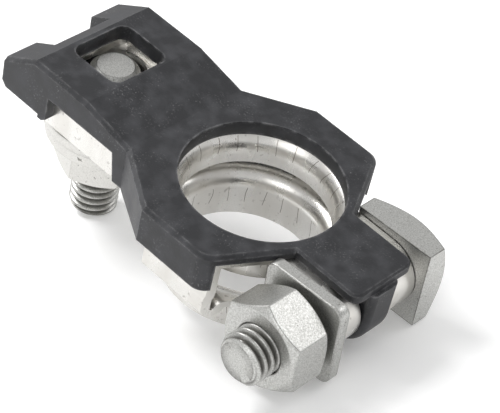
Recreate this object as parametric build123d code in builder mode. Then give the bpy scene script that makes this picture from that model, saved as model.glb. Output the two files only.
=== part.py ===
from build123d import *
import os
from math import radians, tan

# Battery terminal clamp: a folded sheet-metal clamp with two post collars, a black moulded
# cover, a square-headed clamping bolt across its slotted front and a cable stud at its rear.
# Sizes are in millimetres. The origin is on the battery post's axis, level with the top of
# the cover's ring. +X points at the clamping bolt, -X at the cable stud, +Z up the post.

# ------------------------------------------------------------------ driving sizes
# Folded sheet that grips the battery post
SHEET = 0.9  # thickness
BORE_R = 8.75  # both collars, for a 17.5 mm post
UPPER_MOUTH_R = 2.6  # drawn radius at the upper collar's mouth, on the bore side
UPPER_COLLAR_END = -5.4
LOWER_MOUTH_R = 2.3
LOWER_PLATE_TOP = -7.4
LOWER_COLLAR_END = -13.5
MOUTH_LAND = 0.3  # flat ring kept round each mouth
FRONT_INSET = 0.4  # the sheet stops this far inside the cover's slanting front edges
SLOT_HALF = 2.57  # half the gap between the two ears
EAR_END = 6.35  # outer end of each ear, from the middle
EAR_RAMP_FOOT_X = 12.4  # where the ears' lower strip starts to climb to the lower plate
EAR_RAMP_TOP_X = 10.8
EAR_BEND_R = 0.5  # at the middle of the sheet
NECK_WALL_END = -7.0  # lower edge of the walls beside the cable stud
NECK_WALL_FRONT_X = -12.5
SHOULDER_FLANGE_END = -3.5  # lower edge of the short flange behind the ring
SIDE_FLANGE_END = -6.2  # where the side flange meets the lower plate's rim
SIDE_BEND_R = 0.55  # at the middle of the sheet
RIM_STEP = 0.2  # the lower plate's rim stands this far outside the flange
RIM_BOTTOM = -9.4
FOLD_WIDTH = 3.4  # of both plates' edges, from the wall inwards
GUTTER_WIDTH = 1.05  # flat bottom behind the rim
GUTTER_RISE = 0.6  # width of the slope from there to the lower plate
RAMP_FOOT_X = -11.0  # the lower plate climbs from here to the platform
RAMP_TOP_RUN = 7.3  # from the stud forward to the top of that climb
RAMP_BEND_R = 1.2  # at the middle of the sheet
FLOOR_RUN = 4.8  # from the stud forward to the front edge of the floor that carries it

# Cover, a moulded cap over the sheet
SKIRT = 1.3  # skirt wall
FIT = 0.05  # room between skirt and sheet
RING_ROOF = 1.2  # top wall over the ring and tongue
PLATFORM_ROOF = 2.0  # top wall over the platform
PLATFORM_Z = 1.42
HOLE_R = 9.5
LIP_END = -1.85  # lip round the hole that fills the collar's mouth
LIP_WIDTH = 1.1
RIM_BEVEL = 0.45
RING_HALF = 13.95
RING_LEFT_X = -4.6
RING_RIGHT_X = 4.9
RING_FRONT_X = 9.7
RING_FRONT_HALF = 4.9
PLATFORM_HALF = 9.1
NECK_TOP_RUN = 4.5  # from the stud forward to the top of the neck's slope
NECK_FOOT_X = -12.2
REAR_CREASE_RUN = 4.06  # from the stud back to the crease above the rear slope
EAR_BLOCK_RUN = 8.8  # from the stud back to the rear end of the two corner blocks
EAR_BLOCK_TOP = -1.35
EAR_BLOCK_BEVEL = 0.7
EAR_BLOCK_WALL = 1.2
NOTCH_RUN = 5.85  # from the stud back to the face between the corner blocks
NOTCH_HALF = 4.3
REAR_WALL = 1.15
RING_SKIRT_END = -4.9
SHOULDER_END = -5.9  # lowest point of the skirt, where neck and ring meet
SHOULDER_WIDTH = 1.4
NECK_SKIRT_END = -2.1
CORNER_BLOCK_END = -5.3
FOOT_RUN = 2.5  # from the stud back to the rear edge of the snap foot
FOOT_WIDTH = 1.3
FOOT_END = -5.8
WINDOW_SHIFT = 0.35  # window's middle, forward of the stud
WINDOW_LENGTH = 7.5
WINDOW_WIDTH = 8.4
WINDOW_CORNER = 1.3
TONGUE_X = 18.5
TONGUE_HALF = 4.75
TONGUE_CORNER = 1.2
TONGUE_BEVEL = 0.25
WEB_HALF = 2.2  # rib under the tongue, between the ears
WEB_REAR_X = 10.6
WEB_FRONT_X = 19.0
WEB_END = -10.6
WEB_ROUNDING = 5.0
WEB_EDGE_R = 0.9

# M6 fasteners
THREAD_R = 3.0
TIP_BEVEL = 0.8
TURN_GAP = 0.05  # radial room between a thread and its nut
EAR_GAP = 0.25  # radial room between the clamping bolt and the folded ears
LOOSE_GAP = 0.3  # radial room in the plate, the washer and the tongue's web
NUT_FLATS = 10.0
NUT_FACE_R = 4.75
CROWN = 30.0  # degrees, slope of nut and head chamfers
BOLT_X = 14.3
BOLT_TIP_Y = -17.25
HEAD_SIDE = 10.3
HEAD_HEIGHT = 3.7
HEAD_FACE_R = 5.0
HEAD_TURN = 2.75  # degrees
HEAD_LIFT = 0.1  # between ear and head
PLATE_SIDE = 10.65
PLATE_THICKNESS = 1.5
PLATE_CORNER = 1.2
PLATE_TURN = 4.2  # degrees
PLATE_LIFT = 0.1  # between ear and pressure plate
CLAMP_NUT_LIFT = 0.79  # between pressure plate and nut
CLAMP_NUT_HEIGHT = 5.3
CLAMP_NUT_TURN = 35.0  # degrees, a corner's direction
STUD_X = -23.8
STUD_TOP = -0.5
STUD_TIP = -22.4
STUD_COLLAR_R = 4.0
STUD_COLLAR_HEIGHT = 1.5
STUD_HOLE_R = 4.15  # in the platform's lower layer
OPENING_LENGTH = 6.6  # in the platform's upper layer
OPENING_HALF = 4.4
OPENING_CORNER = 1.0
WASHER_R = 7.6
WASHER_THICKNESS = 1.3
WASHER_LIFT = 0.4
FLANGE_R = 7.1
FLANGE_RIM = 1.5
FLANGE_CONE = 1.5
STUD_NUT_LIFT = 0.4
STUD_NUT_HEIGHT = 6.3
STUD_NUT_TURN = 37.0  # degrees, a corner's direction

# ------------------------------------------------------------------ worked-out sizes
FAR = 60.0
REAR_CREASE_X = STUD_X - REAR_CREASE_RUN
EAR_BLOCK_X = STUD_X - EAR_BLOCK_RUN
NOTCH_X = STUD_X - NOTCH_RUN
FOOT_X = STUD_X - FOOT_RUN
NECK_TOP_X = STUD_X + NECK_TOP_RUN
RAMP_TOP_X = STUD_X + RAMP_TOP_RUN
FLOOR_FRONT_X = STUD_X + FLOOR_RUN
UPPER_PLATE_TOP = -RING_ROOF
PLATFORM_TOP = PLATFORM_Z - PLATFORM_ROOF
HALF_SHEET = SHEET / 2
EAR_PATH_R = THREAD_R + EAR_GAP + HALF_SHEET  # of the fold round the bolt, mid sheet
BOLT_Z = UPPER_PLATE_TOP - HALF_SHEET - EAR_PATH_R
LOWER_PATH_Z = LOWER_PLATE_TOP - HALF_SHEET
SHEET_REAR_X = NOTCH_X + REAR_WALL + FIT
SHEET_HALF = RING_HALF - SKIRT - FIT
NECK_INSIDE = PLATFORM_HALF - SKIRT - FIT - SHEET
FLOOR_TOP = NECK_WALL_END + SHEET
HEAD_Y = EAR_END + HEAD_LIFT
PLATE_Y = -EAR_END - PLATE_LIFT
CLAMP_NUT_Y = PLATE_Y - PLATE_THICKNESS - CLAMP_NUT_LIFT
WASHER_TOP = NECK_WALL_END - WASHER_LIFT
STUD_NUT_TOP = WASHER_TOP - WASHER_THICKNESS - STUD_NUT_LIFT
FRONT_RUN = (RING_FRONT_X - RING_RIGHT_X) / (RING_HALF - RING_FRONT_HALF)
FOLD_X = RING_LEFT_X + FRONT_INSET
BOLT_PLANE = Plane(origin=(BOLT_X, 0, BOLT_Z), x_dir=(1, 0, 0), z_dir=(0, -1, 0))
BASE = (Align.CENTER, Align.CENTER, Align.MIN)
EDGE = (Align.MIN, Align.MIN, Align.CENTER)
SLOT_ALIGN = (Align.MIN, Align.CENTER, Align.MIN)


def mirrored(points):
    """These points followed by their images across the middle, as one outline."""
    return points + [(x, -y) for x, y in reversed(points)]


def outline(points, plane=Plane.XY):
    """The face bounded by straight lines through these points."""
    with BuildSketch(plane) as face:
        with BuildLine():
            Polyline(*points, close=True)
        make_face()
    return face.sketch


def flanks(inset):
    """Plan of neck and ring, drawn in by inset from the skirt, running past both ends."""
    with BuildSketch() as plan:
        with BuildLine():
            Polyline(
                *mirrored(
                    [
                        (-FAR, PLATFORM_HALF),
                        (NECK_FOOT_X, PLATFORM_HALF),
                        (RING_LEFT_X, RING_HALF),
                        (FAR, RING_HALF),
                    ]
                ),
                close=True,
            )
        make_face()
        offset(amount=-inset, kind=Kind.INTERSECTION, mode=Mode.REPLACE)
    return plan.sketch


def front_waste(inset):
    """Plan of what lies past the ring's slanting front edges, drawn in by inset."""
    slant = inset * (1 + FRONT_RUN**2) ** 0.5
    near_x = RING_RIGHT_X + (RING_HALF - EAR_END) * FRONT_RUN - slant
    far_x = near_x - (2 * RING_HALF - EAR_END) * FRONT_RUN
    return outline([(near_x, EAR_END), (FAR, EAR_END), (FAR, 2 * RING_HALF), (far_x, 2 * RING_HALF)])


def collar(plate_top, mouth, end):
    """A collar drawn down out of a plate, with the flat ring round its mouth."""
    mouth_r = BORE_R + mouth
    bend_z = plate_top - mouth
    under = mouth - SHEET
    with BuildSketch(Plane.XZ) as section:
        with BuildLine():
            Line((mouth_r + MOUTH_LAND, plate_top), (mouth_r, plate_top))
            RadiusArc((mouth_r, plate_top), (BORE_R, bend_z), -mouth)
            Line((BORE_R, bend_z), (BORE_R, end))
            Line((BORE_R, end), (BORE_R + SHEET, end))
            Line((BORE_R + SHEET, end), (BORE_R + SHEET, bend_z))
            RadiusArc((BORE_R + SHEET, bend_z), (mouth_r, bend_z + under), under)
            Line((mouth_r, bend_z + under), (mouth_r + MOUTH_LAND, bend_z + under))
            Line((mouth_r + MOUTH_LAND, bend_z + under), (mouth_r + MOUTH_LAND, plate_top))
        make_face()
    return revolve(section.sketch, axis=Axis.Z, mode=Mode.PRIVATE)


def top_line(at_platform, at_ring):
    """Points along the neck, in side view, from the rear to past the ring."""
    return [
        (SHEET_REAR_X - FIT, at_platform),
        (NECK_TOP_X, at_platform),
        (NECK_FOOT_X, at_ring),
        (FAR, at_ring),
    ]


def crowned_hexagon(height, turn):
    """A nut's six sides rising from the current workplane, with both ends crowned."""
    spread = height / tan(radians(CROWN))
    with BuildSketch(Plane.XY) as sides:
        RegularPolygon(NUT_FLATS / 2, 6, major_radius=False, rotation=turn)
    with BuildPart(Plane.XY) as blank:
        extrude(sides.sketch, amount=height)
        Cone(NUT_FACE_R + spread, NUT_FACE_R, height, align=BASE, mode=Mode.INTERSECT)
        Cone(NUT_FACE_R, NUT_FACE_R + spread, height, align=BASE, mode=Mode.INTERSECT)
    return blank.part


# ------------------------------------------------------------------ cover
with BuildPart() as sheet_space:
    under_roof = top_line(PLATFORM_TOP, UPPER_PLATE_TOP)
    space_view = outline([(SHEET_REAR_X - FIT, -FAR)] + under_roof + [(FAR, -FAR)], Plane.XZ)
    extrude(space_view, amount=RING_HALF, both=True)
    extrude(flanks(SKIRT), amount=FAR, both=True, mode=Mode.INTERSECT)

with BuildPart() as tongue:
    with BuildSketch(Plane.XY.offset(-RING_ROOF)):
        with Locations((HOLE_R, 0)):
            Rectangle(2 * (TONGUE_X - HOLE_R), 2 * TONGUE_HALF)
        fillet(vertices().group_by(Axis.X)[-1], radius=TONGUE_CORNER)
    extrude(amount=RING_ROOF)
    chamfer(tongue.faces().sort_by(Axis.Z)[-1].edges().sort_by(Axis.X)[1:], length=TONGUE_BEVEL)

with BuildPart() as web:
    web_view = outline(
        [
            (WEB_REAR_X, -RING_ROOF),
            (WEB_FRONT_X, -RING_ROOF),
            (WEB_FRONT_X, WEB_END),
            (WEB_REAR_X, WEB_END),
        ],
        Plane.XZ,
    )
    extrude(web_view, amount=WEB_HALF, both=True)
    nose = web.edges().filter_by(Axis.Y).sort_by_distance((WEB_FRONT_X, 0, WEB_END))[0]
    fillet(nose, radius=WEB_ROUNDING)
    below = web.edges().filter_by(lambda edge: edge.center().Z < -RING_ROOF)
    fillet(below.filter_by(Axis.Y, reverse=True), radius=WEB_EDGE_R)
    with Locations(Location((BOLT_X, 0, BOLT_Z), (90, 0, 0))):
        Cylinder(THREAD_R + LOOSE_GAP, 2 * WEB_HALF, mode=Mode.SUBTRACT)

with BuildPart() as cover:
    side_view = outline(
        [
            (EAR_BLOCK_X, EAR_BLOCK_TOP),
            (REAR_CREASE_X, PLATFORM_Z),
            (NECK_TOP_X, PLATFORM_Z),
            (NECK_FOOT_X, 0),
            (RING_FRONT_X, 0),
            (RING_FRONT_X, RING_SKIRT_END),
            (RING_LEFT_X, RING_SKIRT_END),
            (NECK_FOOT_X, SHOULDER_END),
            (NECK_FOOT_X - SHOULDER_WIDTH, SHOULDER_END),
            (NECK_FOOT_X - 1.5 * SHOULDER_WIDTH, NECK_SKIRT_END),
            (FOOT_X + FOOT_WIDTH, NECK_SKIRT_END),
            (FOOT_X + FOOT_WIDTH, CORNER_BLOCK_END),
            (FOOT_X + FOOT_WIDTH / 2, FOOT_END),
            (FOOT_X, FOOT_END),
            (FOOT_X, CORNER_BLOCK_END),
            (EAR_BLOCK_X + EAR_BLOCK_BEVEL, CORNER_BLOCK_END),
            (EAR_BLOCK_X, CORNER_BLOCK_END + EAR_BLOCK_BEVEL),
        ],
        Plane.XZ,
    )
    plan_view = outline(
        mirrored(
            [
                (EAR_BLOCK_X, PLATFORM_HALF),
                (NECK_FOOT_X, PLATFORM_HALF),
                (RING_LEFT_X, RING_HALF),
                (RING_RIGHT_X, RING_HALF),
                (RING_FRONT_X, RING_FRONT_HALF),
            ]
        )
    )
    extrude(side_view, amount=RING_HALF, both=True)
    extrude(plan_view, amount=FAR, both=True, mode=Mode.INTERSECT)
    roof = cover.faces().filter_by(lambda face: face.normal_at().Z > 0.5)
    chamfer(roof.edges().filter_by(Axis.Y, reverse=True), length=RIM_BEVEL)
    add(sheet_space.part, mode=Mode.SUBTRACT)
    # Notch between the two corner blocks, which are cored out from below
    with Locations((EAR_BLOCK_X, 0)):
        Box(2 * (NOTCH_X - EAR_BLOCK_X), 2 * NOTCH_HALF, FAR, mode=Mode.SUBTRACT)
    core_length = NOTCH_X - EAR_BLOCK_X - EAR_BLOCK_WALL
    core_width = PLATFORM_HALF - NOTCH_HALF - EAR_BLOCK_WALL - SKIRT
    core_depth = EAR_BLOCK_TOP - CORNER_BLOCK_END - EAR_BLOCK_WALL
    core_y = NOTCH_HALF + EAR_BLOCK_WALL + core_width / 2
    with Locations([(NOTCH_X - core_length / 2, y, CORNER_BLOCK_END) for y in (-core_y, core_y)]):
        Box(core_length, core_width, core_depth, align=BASE, mode=Mode.SUBTRACT)
    add([tongue.part, web.part])
    # Post hole, the lip round it and the window over the stud
    Cylinder(HOLE_R, 2 * RING_ROOF, mode=Mode.SUBTRACT)
    with Locations((WEB_REAR_X / 2, 0, WEB_END)):
        Box(WEB_REAR_X, 2 * WEB_HALF, -RING_ROOF - WEB_END, align=BASE, mode=Mode.SUBTRACT)
    with BuildSketch(Plane.XZ):
        with BuildLine():
            Polyline(
                (HOLE_R, UPPER_PLATE_TOP),
                (HOLE_R, LIP_END),
                (HOLE_R + LIP_WIDTH, UPPER_PLATE_TOP),
                close=True,
            )
        make_face()
    revolve(axis=Axis.Z)
    with BuildSketch():
        with Locations((STUD_X + WINDOW_SHIFT, 0)):
            RectangleRounded(WINDOW_LENGTH, WINDOW_WIDTH, WINDOW_CORNER)
    extrude(amount=PLATFORM_ROOF, both=True, mode=Mode.SUBTRACT)

# ------------------------------------------------------------------ folded sheet
with BuildPart() as side_fold:
    wall_y = SHEET_HALF - HALF_SHEET
    rim_y = wall_y + RIM_STEP
    rim_z = RIM_BOTTOM + HALF_SHEET
    fold_root = wall_y - FOLD_WIDTH
    with BuildSketch(Plane.YZ.offset(FOLD_X)):
        with BuildLine():
            FilletPolyline(
                (fold_root, UPPER_PLATE_TOP - HALF_SHEET),
                (wall_y, UPPER_PLATE_TOP - HALF_SHEET),
                (wall_y, SIDE_FLANGE_END),
                (rim_y, SIDE_FLANGE_END - 3 * RIM_STEP),
                (rim_y, rim_z),
                (rim_y - GUTTER_WIDTH, rim_z),
                (rim_y - GUTTER_WIDTH - GUTTER_RISE, LOWER_PATH_Z),
                (fold_root, LOWER_PATH_Z),
                radius=SIDE_BEND_R,
            )
        trace(line_width=SHEET)
    extrude(amount=2 * RING_HALF)
    mirror(about=Plane.XZ)

with BuildPart() as ears:
    with BuildSketch(Plane.XZ.offset(SLOT_HALF)):
        with BuildLine():
            Line((BORE_R, BOLT_Z + EAR_PATH_R), (BOLT_X, BOLT_Z + EAR_PATH_R))
            CenterArc((BOLT_X, BOLT_Z), EAR_PATH_R, 90, -180)
            FilletPolyline(
                (BOLT_X, BOLT_Z - EAR_PATH_R),
                (EAR_RAMP_FOOT_X, BOLT_Z - EAR_PATH_R),
                (EAR_RAMP_TOP_X, LOWER_PATH_Z),
                (BORE_R, LOWER_PATH_Z),
                radius=EAR_BEND_R,
            )
        trace(line_width=SHEET)
    extrude(amount=EAR_END - SLOT_HALF)
    mirror(about=Plane.XZ)

with BuildPart() as ramp:
    ramp_top_z = PLATFORM_TOP - SHEET - HALF_SHEET
    with BuildSketch(Plane.XZ):
        with BuildLine():
            FilletPolyline(
                (-BORE_R, LOWER_PATH_Z),
                (RAMP_FOOT_X, LOWER_PATH_Z),
                (RAMP_TOP_X, ramp_top_z),
                (SHEET_REAR_X, ramp_top_z),
                radius=RAMP_BEND_R,
            )
        trace(line_width=SHEET)
    extrude(amount=NECK_INSIDE, both=True)
    with Locations((STUD_X, 0, ramp_top_z)):
        Cylinder(STUD_HOLE_R, 2 * SHEET, mode=Mode.SUBTRACT)

with BuildPart() as inside:
    inside_view = outline(
        [
            (-FAR, PLATFORM_TOP - SHEET),
            (NECK_TOP_X, PLATFORM_TOP - SHEET),
            (NECK_FOOT_X, UPPER_PLATE_TOP - SHEET),
            (FAR, UPPER_PLATE_TOP - SHEET),
            (FAR, -FAR),
            (-FAR, -FAR),
        ],
        Plane.XZ,
    )
    extrude(inside_view, amount=RING_HALF, both=True)
    extrude(flanks(SKIRT + FIT + SHEET), amount=FAR, both=True, mode=Mode.INTERSECT)

with BuildPart() as clamp_body:
    # Upper plate with the walls folded down from it, clear of the ring's side folds
    plate_view = outline(
        [
            (SHEET_REAR_X, PLATFORM_TOP),
            (NECK_TOP_X, PLATFORM_TOP),
            (NECK_FOOT_X, UPPER_PLATE_TOP),
            (RING_FRONT_X, UPPER_PLATE_TOP),
            (RING_FRONT_X, SHOULDER_FLANGE_END),
            (NECK_WALL_FRONT_X, SHOULDER_FLANGE_END),
            (NECK_WALL_FRONT_X, NECK_WALL_END),
            (SHEET_REAR_X, NECK_WALL_END),
        ],
        Plane.XZ,
    )
    extrude(plate_view, amount=RING_HALF, both=True)
    extrude(flanks(SKIRT + FIT), amount=FAR, both=True, mode=Mode.INTERSECT)
    add(inside.part, mode=Mode.SUBTRACT)
    fold_flat = SHEET_HALF - HALF_SHEET - SIDE_BEND_R
    with Locations([(FOLD_X, fold_flat), (FOLD_X, -fold_flat - 2 * SHEET)]):
        Box(RING_HALF, 2 * SHEET, FAR, align=EDGE, mode=Mode.SUBTRACT)
    add(side_fold.part)
    with BuildSketch():
        with Locations((STUD_X, 0)):
            RectangleRounded(OPENING_LENGTH, 2 * OPENING_HALF, OPENING_CORNER)
    extrude(amount=PLATFORM_TOP - SHEET, mode=Mode.SUBTRACT)
    # Lower plate's rear ramp, the floor that carries the stud, and the ears round the bolt
    add([ramp.part, ears.part])
    with Locations(((SHEET_REAR_X + FLOOR_FRONT_X) / 2, 0, NECK_WALL_END)):
        Box(FLOOR_FRONT_X - SHEET_REAR_X, 2 * NECK_INSIDE, SHEET, align=BASE)
    with Locations((STUD_X, 0, NECK_WALL_END)):
        Cylinder(THREAD_R + TURN_GAP, SHEET, align=BASE, mode=Mode.SUBTRACT)
    # Collars, the slot through both of them and the slanting front edges
    for plate_z, mouth, end in (
        (UPPER_PLATE_TOP, UPPER_MOUTH_R, UPPER_COLLAR_END),
        (LOWER_PLATE_TOP, LOWER_MOUTH_R, LOWER_COLLAR_END),
    ):
        with Locations((0, 0, plate_z)):
            Cylinder(BORE_R + mouth, 2 * SHEET + FIT, mode=Mode.SUBTRACT)
        add(collar(plate_z, mouth, end))
    with Locations((0, 0, LOWER_COLLAR_END)):
        Box(FAR, 2 * SLOT_HALF, -LOWER_COLLAR_END, align=SLOT_ALIGN, mode=Mode.SUBTRACT)
    waste = extrude(front_waste(FRONT_INSET), amount=FAR, both=True, mode=Mode.SUBTRACT)
    mirror(waste, about=Plane.XZ, mode=Mode.SUBTRACT)

# ------------------------------------------------------------------ clamping bolt
with BuildPart() as clamp_bolt:
    with BuildSketch(BOLT_PLANE.offset(-HEAD_Y)):
        Rectangle(HEAD_SIDE, HEAD_SIDE, rotation=HEAD_TURN)
    extrude(amount=-HEAD_HEIGHT)
    head_spread = HEAD_HEIGHT / tan(radians(CROWN))
    with Locations(BOLT_PLANE.offset(-HEAD_Y - HEAD_HEIGHT)):
        Cone(
            HEAD_FACE_R, HEAD_FACE_R + head_spread, HEAD_HEIGHT, align=BASE, mode=Mode.INTERSECT
        )
    with BuildSketch(BOLT_PLANE.offset(-HEAD_Y)):
        Circle(THREAD_R)
    extrude(amount=HEAD_Y - BOLT_TIP_Y)
    chamfer(clamp_bolt.edges().sort_by(Axis.Y)[0], length=TIP_BEVEL)

with BuildPart() as pressure_plate:
    with BuildSketch(BOLT_PLANE.offset(-PLATE_Y)):
        RectangleRounded(PLATE_SIDE, PLATE_SIDE, PLATE_CORNER, rotation=PLATE_TURN)
        Circle(THREAD_R + LOOSE_GAP, mode=Mode.SUBTRACT)
    extrude(amount=PLATE_THICKNESS)

with BuildPart() as clamp_nut:
    blank = crowned_hexagon(CLAMP_NUT_HEIGHT, CLAMP_NUT_TURN)
    with Locations(BOLT_PLANE.offset(-CLAMP_NUT_Y)):
        add(blank)
        Cylinder(THREAD_R + TURN_GAP, CLAMP_NUT_HEIGHT, align=BASE, mode=Mode.SUBTRACT)

# ------------------------------------------------------------------ cable stud
with BuildPart() as terminal_stud:
    with Locations((STUD_X, 0, STUD_TIP)):
        Cylinder(THREAD_R, STUD_TOP - STUD_TIP, align=BASE)
    chamfer(terminal_stud.edges().filter_by(GeomType.CIRCLE), length=TIP_BEVEL)
    with Locations((STUD_X, 0, FLOOR_TOP)):
        Cylinder(STUD_COLLAR_R, STUD_COLLAR_HEIGHT, align=BASE)

with BuildPart() as stud_washer:
    with BuildSketch(Plane.XY.offset(WASHER_TOP)):
        with Locations((STUD_X, 0)):
            Circle(WASHER_R)
            Circle(THREAD_R + LOOSE_GAP, mode=Mode.SUBTRACT)
    extrude(amount=-WASHER_THICKNESS)

with BuildPart() as stud_nut:
    blank = crowned_hexagon(STUD_NUT_HEIGHT, STUD_NUT_TURN)
    with Locations((STUD_X, 0, STUD_NUT_TOP - STUD_NUT_HEIGHT)):
        add(blank)
    with Locations((STUD_X, 0, STUD_NUT_TOP - FLANGE_RIM)):
        Cylinder(FLANGE_R, FLANGE_RIM, align=BASE)
    with Locations((STUD_X, 0, STUD_NUT_TOP - FLANGE_RIM - FLANGE_CONE)):
        Cone(NUT_FACE_R, FLANGE_R, FLANGE_CONE, align=BASE)
    with Locations((STUD_X, 0, STUD_NUT_TOP - STUD_NUT_HEIGHT)):
        Cylinder(THREAD_R + TURN_GAP, STUD_NUT_HEIGHT, align=BASE, mode=Mode.SUBTRACT)

# ------------------------------------------------------------------ labels and files
os.makedirs("parts", exist_ok=True)
for name, piece in (
    ("cover", cover),
    ("clamp_body", clamp_body),
    ("clamp_bolt", clamp_bolt),
    ("pressure_plate", pressure_plate),
    ("clamp_nut", clamp_nut),
    ("terminal_stud", terminal_stud),
    ("stud_washer", stud_washer),
    ("stud_nut", stud_nut),
):
    piece.part.label = name
    export_step(piece.part, f"parts/{name}.step")
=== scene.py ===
# %% [markdown]
# # A battery terminal clamp
# The clamp is one folded sheet of tin-plated steel under a black moulded cover. A square-headed
# bolt closes its slotted front, and a threaded stud at its rear takes the cable. The solid parts
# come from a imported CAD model, so their places and sizes are already right. This lesson dresses
# them: softened edges, screw threads, four finishes, a floor, soft light and a camera.

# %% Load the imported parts
import math

import bmesh
import bpy
from mathutils import Matrix, Vector


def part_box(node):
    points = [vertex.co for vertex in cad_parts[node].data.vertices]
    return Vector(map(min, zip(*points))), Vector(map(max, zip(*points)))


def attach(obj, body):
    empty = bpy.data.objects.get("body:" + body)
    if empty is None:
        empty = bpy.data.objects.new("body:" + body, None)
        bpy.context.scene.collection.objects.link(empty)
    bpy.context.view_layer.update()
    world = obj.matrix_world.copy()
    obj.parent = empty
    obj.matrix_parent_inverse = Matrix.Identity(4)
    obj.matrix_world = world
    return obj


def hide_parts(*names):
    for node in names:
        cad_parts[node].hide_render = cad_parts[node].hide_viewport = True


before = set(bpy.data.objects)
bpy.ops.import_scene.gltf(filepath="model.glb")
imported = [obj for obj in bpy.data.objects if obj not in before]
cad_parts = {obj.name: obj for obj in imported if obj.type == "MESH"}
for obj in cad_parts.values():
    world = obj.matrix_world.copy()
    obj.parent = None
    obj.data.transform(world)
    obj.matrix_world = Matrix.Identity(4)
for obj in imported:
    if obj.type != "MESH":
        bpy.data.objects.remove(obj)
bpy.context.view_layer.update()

MM = 0.001
print("parts:", sorted(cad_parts))

# %% [markdown]
# ## Procedural finishes
# Every finish is a node material on Object coordinates, so it needs no unwrapping and stays put
# when a part turns. A small helper keeps each recipe short: it adds a node, sets its inputs and
# links the ones that are given as sockets.

# %% A helper for node recipes


def add_node(tree, kind, inputs=None, **settings):
    """Add a node, set its properties, then set or link its inputs."""
    node = tree.nodes.new(kind)
    for key, value in settings.items():
        setattr(node, key, value)
    for key, value in (inputs or {}).items():
        if isinstance(value, bpy.types.NodeSocket):
            tree.links.new(value, node.inputs[key])
        else:
            node.inputs[key].default_value = value
    return node


def new_finish(name):
    """A material with a bare shader and its Object coordinates."""
    finish = bpy.data.materials.new(name)
    finish.use_nodes = True
    tree = finish.node_tree
    shader = tree.nodes["Principled BSDF"]
    coords = add_node(tree, "ShaderNodeTexCoord")
    return finish, tree, shader, coords.outputs["Object"]


def speckle(tree, coords, scale, low, high, detail=6.0, stretch=None):
    """Noise squeezed between two levels, as a grey value from 0 to 1."""
    if stretch:
        coords = add_node(
            tree, "ShaderNodeMapping", {"Vector": coords, "Scale": stretch}
        ).outputs[0]
    noise = add_node(
        tree, "ShaderNodeTexNoise", {"Vector": coords, "Scale": scale, "Detail": detail}
    )
    return add_node(
        tree,
        "ShaderNodeMapRange",
        {"Value": noise.outputs[0], "From Min": low, "From Max": high},
    ).outputs[0]


def blend_colours(tree, factor, dark, light):
    """A colour between two others, by a grey value."""
    mix = add_node(tree, "ShaderNodeMix", data_type="RGBA")
    for socket, value in ((0, factor), (6, dark), (7, light)):
        if isinstance(value, bpy.types.NodeSocket):
            tree.links.new(value, mix.inputs[socket])
        else:
            mix.inputs[socket].default_value = value
    return mix.outputs[2]


def grey_range(tree, value, low, high):
    """Map a 0 to 1 value on to a new range."""
    return add_node(
        tree, "ShaderNodeMapRange", {"Value": value, "To Min": low, "To Max": high}
    ).outputs[0]


def math_node(tree, operation, *values):
    """One sum, with sockets or numbers as its terms."""
    node = tree.nodes.new("ShaderNodeMath")
    node.operation = operation
    for socket, value in zip(node.inputs, values):
        if isinstance(value, bpy.types.NodeSocket):
            tree.links.new(value, socket)
        else:
            socket.default_value = value
    return node.outputs[0]


def add_bump(tree, shader, height, depth):
    """Give the shader a bump of this depth in metres."""
    bump = add_node(tree, "ShaderNodeBump", {"Height": height, "Distance": depth, "Strength": 1.0})
    tree.links.new(bump.outputs[0], shader.inputs["Normal"])


def edge_mask(tree, reach, full):
    """0 on flat faces, rising to 1 within this reach of an edge, where the normal turns."""
    rounded = add_node(tree, "ShaderNodeBevel", {"Radius": reach}, samples=6)
    plain = add_node(tree, "ShaderNodeNewGeometry").outputs["True Normal"]
    along = add_node(
        tree, "ShaderNodeVectorMath", {0: rounded.outputs[0], 1: plain}, operation="DOT_PRODUCT"
    ).outputs["Value"]
    return add_node(
        tree, "ShaderNodeMapRange", {"Value": along, "From Min": 0.995, "From Max": full}
    ).outputs[0]


print("helpers ready")

# %% [markdown]
# ## Black moulded plastic
# The cover is a hard black moulding with a fine spark-eroded grain. Handling has left a pale haze
# and dust in patches. One noise makes the haze, two multiplied together make the dust, and a fine
# one is the grain in the bump. The pale edges are partly abrasion from handling and partly a painted
# highlight along the rims. They come from a mask that finds where the surface turns, broken up by a
# noise so that they aren't drawn in one even line.

# %% Cover finish
plastic, tree, shader, coords = new_finish("black_moulding")
haze = speckle(tree, coords, 420.0, 0.42, 0.72, detail=9.0)
specks = speckle(tree, coords, 4200.0, 0.58, 0.76, detail=3.0)
patches = speckle(tree, coords, 260.0, 0.48, 0.66)
scuffs = math_node(tree, "MULTIPLY", specks, patches)
grain = speckle(tree, coords, 5200.0, 0.3, 0.7, detail=2.0)
mottled = blend_colours(tree, haze, (0.015, 0.0155, 0.018, 1), (0.042, 0.043, 0.048, 1))
# pale rims: partly abrasion from handling, partly a painted highlight where the surface turns
edge = edge_mask(tree, 0.45 * MM, 0.86)
broken = speckle(tree, coords, 900.0, 0.4, 0.62, detail=8.0)
abrasion_and_highlight_mask = math_node(tree, "MULTIPLY", edge, broken)
scuffed = blend_colours(tree, scuffs, mottled, (0.16, 0.16, 0.165, 1))
abrasion_and_highlight_colour = blend_colours(tree, abrasion_and_highlight_mask, scuffed, (0.15, 0.15, 0.155, 1))
tree.links.new(abrasion_and_highlight_colour, shader.inputs["Base Color"])
tree.links.new(grey_range(tree, haze, 0.42, 0.56), shader.inputs["Roughness"])
shader.inputs["Specular IOR Level"].default_value = 0.5
add_bump(tree, shader, grain, 0.005 * MM)
print("finish:", plastic.name)

# %% [markdown]
# ## Tin-plated sheet
# The sheet is bright and slightly warm, with soft smears from drawing. The collars show short
# upright score marks about every fifteen degrees where the press tool dragged. The angle round the
# post is cut into equal steps that wander a little, and a thin line in the middle of each step is
# kept where it lies in one of two bands of height.

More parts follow.
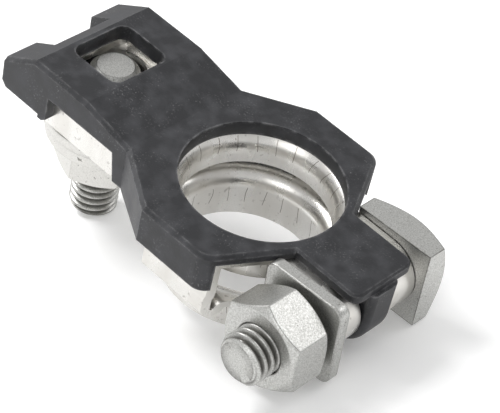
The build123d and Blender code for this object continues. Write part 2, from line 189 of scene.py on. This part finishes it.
# %% Sheet finish
SCORE_ANGLE = math.radians(15)
SCORE_WIDTH = 0.017
SCORE_REACH = 10.2 * MM
UPPER_SCORES = (-2.9 * MM, 0.9 * MM)
LOWER_SCORES = (-10.6 * MM, 1.1 * MM)


def score_marks(tree, coords):
    """1 on the short upright marks in the collars, 0 elsewhere."""
    split = add_node(tree, "ShaderNodeSeparateXYZ", {0: coords}).outputs
    angle = math_node(tree, "ARCTAN2", split[1], split[0])
    wander = speckle(tree, coords, 170.0, 0.0, 1.0, detail=1.0)
    steps = math_node(tree, "ADD", math_node(tree, "DIVIDE", angle, SCORE_ANGLE), wander)
    within = math_node(tree, "FRACT", steps)
    offset = math_node(tree, "ABSOLUTE", math_node(tree, "SUBTRACT", within, 0.5))
    line = math_node(tree, "LESS_THAN", offset, SCORE_WIDTH)
    bands = []
    for middle, half in (UPPER_SCORES, LOWER_SCORES):
        away = math_node(tree, "ABSOLUTE", math_node(tree, "SUBTRACT", split[2], middle))
        bands.append(math_node(tree, "LESS_THAN", away, half))
    band = math_node(tree, "MAXIMUM", bands[0], bands[1])
    squares = [math_node(tree, "POWER", part, 2.0) for part in (split[0], split[1])]
    across = math_node(tree, "ADD", *squares)
    bore = math_node(tree, "LESS_THAN", across, SCORE_REACH**2)
    return math_node(tree, "MULTIPLY", math_node(tree, "MULTIPLY", line, band), bore)


tin, tree, shader, coords = new_finish("tin_plate")
smear = speckle(tree, coords, 300.0, 0.35, 0.7, detail=5.0, stretch=(1.0, 1.0, 0.35))
pits = speckle(tree, coords, 1500.0, 0.62, 0.75)
scores = score_marks(tree, coords)
smeared = blend_colours(tree, smear, (0.86, 0.85, 0.82, 1), (0.74, 0.72, 0.68, 1))
pitted = blend_colours(tree, pits, smeared, (0.50, 0.48, 0.45, 1))
scored = blend_colours(tree, scores, pitted, (0.30, 0.27, 0.24, 1))
tree.links.new(scored, shader.inputs["Base Color"])
shader.inputs["Metallic"].default_value = 1.0
tree.links.new(grey_range(tree, smear, 0.22, 0.36), shader.inputs["Roughness"])
add_bump(tree, shader, smear, 0.006 * MM)
print("finish:", tin.name)

# %% [markdown]
# ## Zinc-plated steel
# Bolts, nuts and washers are barrel-plated: a grey that is mottled by tumbling, matter than the
# sheet. The finest noise makes the mottling, one nearly as fine the grain in the bump, and a
# coarser one a few small dents. Painted shade darkens the edges in broken dark lines, and the
# thread's roots by the mark that the thread leaves. The cable's washer and nut are brighter, with
# a shallower grain and fainter painted edge shade.

# %% Zinc finish


def new_zinc(name, light, dark, grain_depth, edge_shade_strength):
    """Tumbled zinc plate in two colours, a fine grain this deep and painted edge shade this strong."""
    finish, tree, shader, coords = new_finish(name)
    tumble = speckle(tree, coords, 6500.0, 0.34, 0.68, detail=3.0)
    grain = speckle(tree, coords, 5200.0, 0.35, 0.68, detail=3.0)
    dents = speckle(tree, coords, 1900.0, 0.66, 0.74, detail=4.0)
    tumbled = blend_colours(tree, tumble, light, dark)
    dented = blend_colours(tree, dents, tumbled, (0.26, 0.25, 0.23, 1))
    # thread roots darkened by the groove mark: painted shade in the grooves
    groove = add_node(tree, "ShaderNodeAttribute", attribute_name="groove").outputs["Fac"]
    threaded = blend_colours(tree, groove, dented, (0.13, 0.125, 0.115, 1))
    # dark broken lines along the edges: painted shade
    broken = speckle(tree, coords, 700.0, 0.2, 0.5, detail=6.0)
    broken_edge_shade = math_node(tree, "MULTIPLY", broken, edge_shade_strength)
    edge_shade_mask = math_node(tree, "MULTIPLY", edge_mask(tree, 0.25 * MM, 0.9), broken_edge_shade)
    edge_shaded = blend_colours(tree, edge_shade_mask, threaded, (0.10, 0.095, 0.085, 1))
    tree.links.new(edge_shaded, shader.inputs["Base Color"])
    shader.inputs["Metallic"].default_value = 1.0
    tree.links.new(grey_range(tree, tumble, 0.33, 0.48), shader.inputs["Roughness"])
    add_bump(tree, shader, grain, grain_depth)
    print("finish:", finish.name)
    return finish


zinc = new_zinc("zinc_plate", (0.68, 0.68, 0.66, 1), (0.44, 0.44, 0.42, 1), 0.004 * MM, 0.9)
bright_zinc = new_zinc("bright_zinc", (0.78, 0.77, 0.74, 1), (0.68, 0.67, 0.64, 1), 0.002 * MM, 0.4)

# %% [markdown]
# ## Softened edges
# No real edge is razor sharp: the mould and the press leave a small radius that catches light.
# The CAD solids stay as they are, and modifiers round them: flat triangles are merged into whole
# faces first, so the bevel only meets true edges.

# %% Round the edges of the solid parts
CORNER_R = 1.0 * MM
CORNER_REACH = 0.75 * MM
WELD_GAP = 0.0005 * MM
FLAT_ANGLE = math.radians(1.0)
EDGE_ANGLE = math.radians(28.0)
RING_CORNER = (4.9 * MM, 13.95 * MM)


def mark_corners(part, x, y):
    """Put what lies on the upright edges at (x, y) and (x, -y) in a vertex group."""
    near = [
        vertex.index
        for vertex in part.data.vertices
        if abs(vertex.co.x - x) < CORNER_REACH and abs(abs(vertex.co.y) - y) < CORNER_REACH
    ]
    part.vertex_groups.new(name="corner").add(near, 1.0, "REPLACE")
    print("corner points:", len(near))


def soften(part, width, finish, segments=2):
    """Weld a CAD part, merge its flat faces, round its edges and give it a finish."""
    weld = part.modifiers.new("Weld", "WELD")
    weld.merge_threshold = WELD_GAP
    merge = part.modifiers.new("Merge flats", "DECIMATE")
    merge.decimate_type = "DISSOLVE"
    merge.angle_limit = FLAT_ANGLE
    if "corner" in part.vertex_groups:
        corner = part.modifiers.new("Round corners", "BEVEL")
        corner.width = CORNER_R
        corner.segments = 6
        corner.limit_method = "VGROUP"
        corner.vertex_group = "corner"
    bevel = part.modifiers.new("Soft edges", "BEVEL")
    bevel.width = width
    bevel.segments = segments
    bevel.limit_method = "ANGLE"
    bevel.angle_limit = EDGE_ANGLE
    bevel.use_clamp_overlap = True
    bevel.harden_normals = False
    part.data.materials.clear()
    part.data.materials.append(finish)


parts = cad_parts
mark_corners(parts["cover"], *RING_CORNER)
for name, width, finish in (
    ("cover", 0.25 * MM, plastic),
    ("clamp_body", 0.12 * MM, tin),
    ("pressure_plate", 0.15 * MM, zinc),
    ("clamp_nut", 0.32 * MM, zinc),
    ("stud_washer", 0.15 * MM, bright_zinc),
    ("stud_nut", 0.2 * MM, bright_zinc),
):
    soften(parts[name], width, finish)
    print("softened:", name)

# %% [markdown]
# ## Screw threads
# The bolt and the stud are M6 screws. A thread is a ridge that climbs one pitch in each turn, so
# it follows a rule: the radius depends only on how far a point's height is ahead of its angle.
# Geometry Nodes bends a flat grid into that shape. The grid's width becomes the angle, its height
# becomes the length, and the first and last rows shrink to a point to close the ends. How deep a
# point lies in the groove is stored before the grid is bent, while its place still is its share of
# the length, because a value stored afterwards would be worked out from the bent place.

# %% Node tree for a threaded rod
END_FLAT = 0.2 * MM
TIP_SLOPE = 1.3


def build_thread_tree():
    """A tree that turns a grid into a closed threaded rod, tip at the origin, rising along Z."""
    tree = bpy.data.node_groups.new("threaded_rod", "GeometryNodeTree")
    face = tree.interface
    face.new_socket("Geometry", in_out="OUTPUT", socket_type="NodeSocketGeometry")
    for label in ("Radius", "Depth", "Pitch", "Length", "Tip Radius"):
        face.new_socket(label, in_out="INPUT", socket_type="NodeSocketFloat")
    for label in ("Around", "Along"):
        face.new_socket(label, in_out="INPUT", socket_type="NodeSocketInt")
    face.new_socket("Finish", in_out="INPUT", socket_type="NodeSocketMaterial")
    given = tree.nodes.new("NodeGroupInput").outputs
    grid = add_node(
        tree,
        "GeometryNodeMeshGrid",
        {"Size X": 1.0, "Size Y": 1.0, "Vertices X": given["Around"], "Vertices Y": given["Along"]},
    )
    place = add_node(tree, "GeometryNodeInputPosition").outputs[0]
    split = add_node(tree, "ShaderNodeSeparateXYZ", {0: place}).outputs
    turn = math_node(tree, "ADD", split[0], 0.5)
    share = math_node(tree, "ADD", split[1], 0.5)
    height = math_node(tree, "MULTIPLY", share, given["Length"])
    ahead = math_node(tree, "SUBTRACT", math_node(tree, "DIVIDE", height, given["Pitch"]), turn)
    doubled = math_node(tree, "MULTIPLY", math_node(tree, "FRACT", ahead), 2.0)
    saw = math_node(tree, "SUBTRACT", doubled, 1.0)
    ridge = math_node(tree, "SUBTRACT", 1.0, math_node(tree, "ABSOLUTE", saw))
    flank = add_node(
        tree,
        "ShaderNodeMapRange",
        {"Value": ridge, "From Min": 0.1, "From Max": 0.85},
        interpolation_type="SMOOTHSTEP",
    ).outputs[0]
    root = math_node(tree, "SUBTRACT", given["Radius"], given["Depth"])
    thread = math_node(tree, "ADD", root, math_node(tree, "MULTIPLY", flank, given["Depth"]))
    taper = math_node(tree, "ADD", given["Tip Radius"], math_node(tree, "MULTIPLY", height, TIP_SLOPE))
    body = math_node(tree, "MINIMUM", thread, taper)
    from_end = math_node(tree, "MINIMUM", share, math_node(tree, "SUBTRACT", 1.0, share))
    inside = math_node(tree, "GREATER_THAN", from_end, 1e-5)
    radius = math_node(tree, "MULTIPLY", body, inside)
    angle = math_node(tree, "MULTIPLY", turn, math.tau)
    spot = add_node(
        tree,
        "ShaderNodeCombineXYZ",
        {
            0: math_node(tree, "MULTIPLY", radius, math_node(tree, "COSINE", angle)),
            1: math_node(tree, "MULTIPLY", radius, math_node(tree, "SINE", angle)),
            2: height,
        },
    )
    cut_deep = math_node(tree, "GREATER_THAN", height, END_FLAT)
    depth_mark = math_node(tree, "MULTIPLY", math_node(tree, "SUBTRACT", 1.0, flank), cut_deep)
    marked = add_node(
        tree,
        "GeometryNodeStoreNamedAttribute",
        {"Geometry": grid.outputs[0], "Name": "groove", "Value": depth_mark},
        data_type="FLOAT",
        domain="POINT",
    )
    bent = add_node(
        tree,
        "GeometryNodeSetPosition",
        {"Geometry": marked.outputs[0], "Position": spot.outputs[0]},
    )
    welded = add_node(
        tree, "GeometryNodeMergeByDistance", {"Geometry": bent.outputs[0], "Distance": 1e-6}
    )
    smooth = add_node(tree, "GeometryNodeSetShadeSmooth", {"Geometry": welded.outputs[0]})
    solid = add_node(tree, "GeometryNodeRealizeInstances", {"Geometry": smooth.outputs[0]})
    finished = add_node(
        tree,
        "GeometryNodeSetMaterial",
        {"Geometry": solid.outputs[0], "Material": given["Finish"]},
    )
    result = tree.nodes.new("NodeGroupOutput")
    tree.links.new(finished.outputs[0], result.inputs[0])
    return tree


thread_tree = build_thread_tree()
print("thread tree nodes:", len(thread_tree.nodes))

# %% Make plain meshes from the tree
THREAD_PITCH = 1.0 * MM
SHARP_ANGLE = math.radians(42)
ROWS_PER_TURN = 18


def threaded_rod(length, finish):
    """A plain mesh of an M6 rod of this length, tip at the origin."""
    maker = bpy.data.objects.new("rod_maker", bpy.data.meshes.new("rod_maker"))
    bpy.context.scene.collection.objects.link(maker)
    step = maker.modifiers.new("Rod", "NODES")
    step.node_group = thread_tree
    wanted = {
        "Radius": 2.98 * MM,
        "Depth": 0.6 * MM,
        "Pitch": THREAD_PITCH,
        "Length": length,
        "Tip Radius": 2.25 * MM,
        "Around": 73,
        "Along": round(ROWS_PER_TURN * length / THREAD_PITCH),
        "Finish": finish,
    }
    for item in thread_tree.interface.items_tree:
        if item.in_out == "INPUT":
            step[item.identifier] = wanted[item.name]
    evaluated = maker.evaluated_get(bpy.context.evaluated_depsgraph_get())
    mesh = bpy.data.meshes.new_from_object(evaluated)
    bpy.data.objects.remove(maker)
    return mesh


def screw_piece(name, node, keep_above, axis, tip, length, turn):
    """The CAD part's plain end, cut off at keep_above along axis, joined to a threaded rod."""
    form = bmesh.new()
    form.from_mesh(parts[node].data)
    form.transform(parts[node].matrix_world)
    bmesh.ops.remove_doubles(form, verts=form.verts, dist=WELD_GAP)
    cut = bmesh.ops.bisect_plane(
        form,
        geom=form.verts[:] + form.edges[:] + form.faces[:],
        plane_co=axis * keep_above,
        plane_no=axis,
        clear_inner=True,
    )
    rim = [e for e in cut["geom_cut"] if isinstance(e, bmesh.types.BMEdge)]
    bmesh.ops.holes_fill(form, edges=rim)
    for face in form.faces:
        face.smooth = False
    end = bpy.data.meshes.new(name + "_end")
    form.to_mesh(end)
    end.attributes.new("groove", "FLOAT", "POINT")
    form.free()
    rod = threaded_rod(length, zinc)
    rod.transform(Matrix.Translation(tip) @ turn)
    whole = bmesh.new()
    whole.from_mesh(end)
    whole.from_mesh(rod)
    bmesh.ops.recalc_face_normals(whole, faces=whole.faces)
    for edge in whole.edges:
        edge.smooth = edge.calc_face_angle(0) < SHARP_ANGLE
    mesh = bpy.data.meshes.new(name)
    whole.to_mesh(mesh)
    whole.free()
    mesh.materials.append(zinc)
    piece = bpy.data.objects.new(name, mesh)
    bpy.context.scene.collection.objects.link(piece)
    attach(piece, "clamp")
    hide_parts(node)
    depths = [value.value for value in mesh.attributes["groove"].data]
    print(name, "faces:", len(mesh.polygons), "deepest groove mark:", round(max(depths), 2))
    return piece


ALONG_Y = Matrix(((1, 0, 0), (0, 0, 1), (0, -1, 0))).to_4x4()
bolt_tip = Vector(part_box("clamp_bolt")[0])
stud_low, stud_high = (Vector(corner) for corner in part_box("terminal_stud"))
BOLT_AXIS = Vector((14.3, 0, -5.35)) * MM
screw_piece(
    "threaded_bolt",
    "clamp_bolt",
    6.2 * MM,
    Vector((0, 1, 0)),
    Vector((BOLT_AXIS.x, bolt_tip.y, BOLT_AXIS.z)),
    6.6 * MM - bolt_tip.y,
    ALONG_Y,
)
screw_piece(
    "threaded_stud",
    "terminal_stud",
    -6.6 * MM,
    Vector((0, 0, 1)),
    Vector(((stud_low.x + stud_high.x) / 2, 0, stud_low.z)),
    -6.4 * MM - stud_low.z,
    Matrix.Identity(4),
)

# %% [markdown]
# ## Floor, light and camera
# The clamp lies on a pale table, tipped so that it rests on its stud and its lower collar, with
# the bolt's head just clear of it. The table is a plane under those two places. The light is
# soft and level.

# %% Floor
FLOOR_R = 160 * MM
FLOOR_POINT = Vector((8.75, 0, -13.70)) * MM
FLOOR_TILT = math.radians(16.0)
FLOOR_NORMAL = Vector((-math.sin(FLOOR_TILT), 0, math.cos(FLOOR_TILT)))
mesh = bpy.data.meshes.new("table")
form = bmesh.new()
bmesh.ops.create_circle(form, cap_ends=True, segments=96, radius=FLOOR_R)
form.transform(FLOOR_NORMAL.to_track_quat("Z", "Y").to_matrix().to_4x4())
bmesh.ops.translate(form, verts=form.verts, vec=FLOOR_POINT)
form.to_mesh(mesh)
form.free()
table = bpy.data.objects.new("table", mesh)
bpy.context.scene.collection.objects.link(table)
paper, tree, shader, coords = new_finish("white_paper")
shader.inputs["Roughness"].default_value = 0.9
shader.inputs["Emission Color"].default_value = (1, 1, 1, 1)
seen = add_node(tree, "ShaderNodeLightPath").outputs["Is Camera Ray"]
tree.links.new(grey_range(tree, seen, 0.20, 0.15), shader.inputs["Emission Strength"])
tree.links.new(
    blend_colours(tree, seen, (0.74, 0.74, 0.74, 1), (0.92, 0.92, 0.92, 1)),
    shader.inputs["Base Color"],
)
table.data.materials.append(paper)
print("table tilted by", round(math.degrees(FLOOR_TILT), 1), "degrees")

# %% World and lamps
world = bpy.data.worlds.new("studio")
bpy.context.scene.world = world
world.use_nodes = True
sky = world.node_tree
backdrop = sky.nodes["Background"]
direction = add_node(sky, "ShaderNodeTexCoord").outputs["Generated"]
height = add_node(sky, "ShaderNodeSeparateXYZ", {0: direction}).outputs[2]
fall = add_node(
    sky,
    "ShaderNodeMapRange",
    {"Value": height, "From Min": 0.0, "From Max": 0.8, "To Min": 0.78, "To Max": 0.54},
).outputs[0]
seen = add_node(sky, "ShaderNodeLightPath").outputs["Is Camera Ray"]
level = add_node(sky, "ShaderNodeMix", {0: seen, 2: fall, 3: 1.0}, data_type="FLOAT").outputs[0]
sky.links.new(level, backdrop.inputs["Strength"])
backdrop.inputs["Color"].default_value = (1, 1, 1, 1)


def add_lamp(name, place, target, size, power):
    """A square area lamp at place, in millimetres, facing target."""
    data = bpy.data.lights.new(name, "AREA")
    data.size = size * MM
    data.energy = power
    lamp = bpy.data.objects.new(name, data)
    lamp.location = Vector(place) * MM
    aim = (Vector(target) - Vector(place)).to_track_quat("-Z", "Y")
    lamp.rotation_euler = aim.to_euler()
    bpy.context.scene.collection.objects.link(lamp)


add_lamp("key", (-220, -40, 180), (-5, 0, -5), 130, 0.60)
add_lamp("back", (80, 190, 240), (5, 0, -5), 130, 0.14)
add_lamp("fill", (30, -240, 150), (-5, 0, -5), 160, 0.12)
print("lamps: key, back and fill")

# %% Camera
CAMERA_RIGHT = Vector((0.7015427, 0.6902914, 0.1770188))
CAMERA_UP = Vector((-0.5750134, 0.4015954, 0.7127978))
CAMERA_BACK = Vector((0.4209482, -0.6018463, 0.6786631))
CAMERA_PLACE = Vector((92.67856, -133.74857, 146.08301)) * MM
view = bpy.data.cameras.new("view")
view.lens = 144
view.sensor_width = 36
view.clip_start = 0.01
camera = bpy.data.objects.new("camera", view)
turn = Matrix((CAMERA_RIGHT, CAMERA_UP, CAMERA_BACK)).transposed().to_4x4()
camera.matrix_world = Matrix.Translation(CAMERA_PLACE) @ turn
bpy.context.scene.collection.objects.link(camera)
bpy.context.scene.camera = camera
bpy.context.scene.view_settings.view_transform = "Standard"
print("camera ready")
